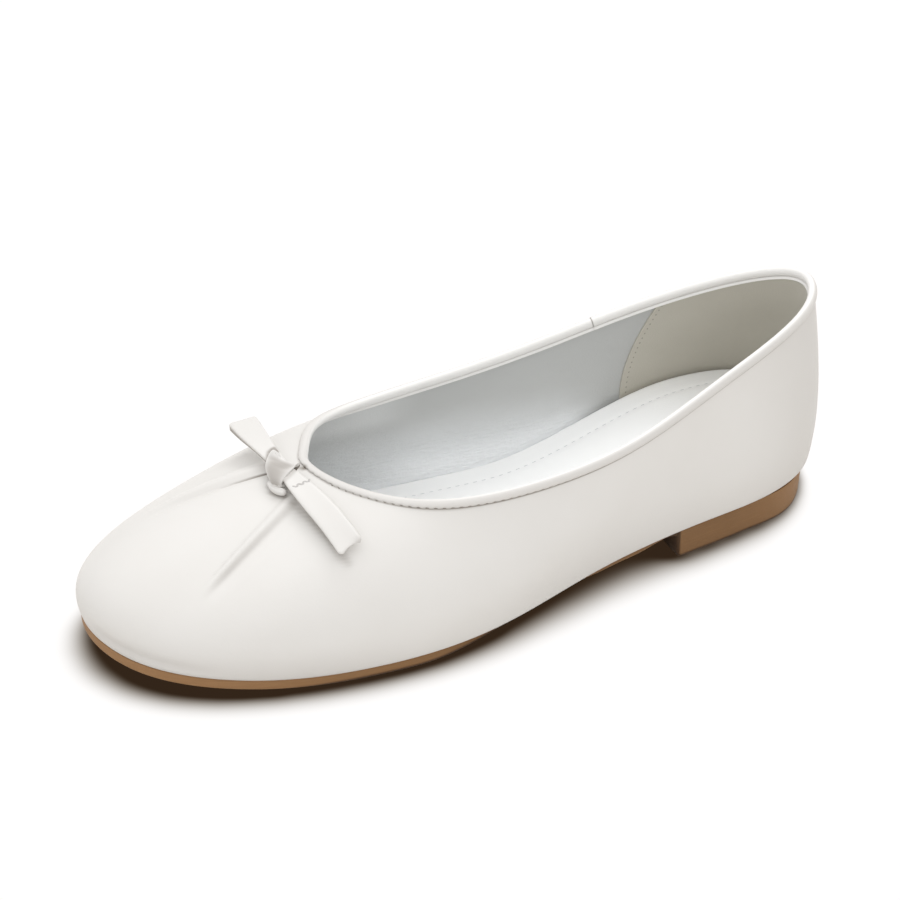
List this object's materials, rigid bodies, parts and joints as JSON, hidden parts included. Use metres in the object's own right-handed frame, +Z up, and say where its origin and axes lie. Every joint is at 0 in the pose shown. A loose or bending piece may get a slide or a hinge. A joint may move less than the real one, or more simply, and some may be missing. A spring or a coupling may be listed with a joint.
{
  "type": "ballet flat shoe",
  "caption": "Left ballet flat: thin white upper with a round toe and bound collar, a knotted bow on the vamp, a padded insole and a tan moulded sole with a low heel.",
  "frame": {"origin": "on the floor under the middle of the shoe's bounding box", "axes": "+X from the heel to the toe, +Y to the shoe's outer (left) side, +Z up"},
  "size_m": [0.242, 0.0865, 0.0699],
  "materials": {
    "outsole": "satin tan moulded rubber",
    "upper": "smooth white leather with a soft sheen",
    "insole": "matt cool white lining leather over foam",
    "binding": "folded white leather strip",
    "bow": "folded white leather strip"
  },
  "bodies": {
    "root": {"outsole": "outsole", "upper": "upper", "insole": "insole", "topline_binding": "binding", "bow_tails": "bow", "bow_knot": "bow"}
  },
  "joints": []
}
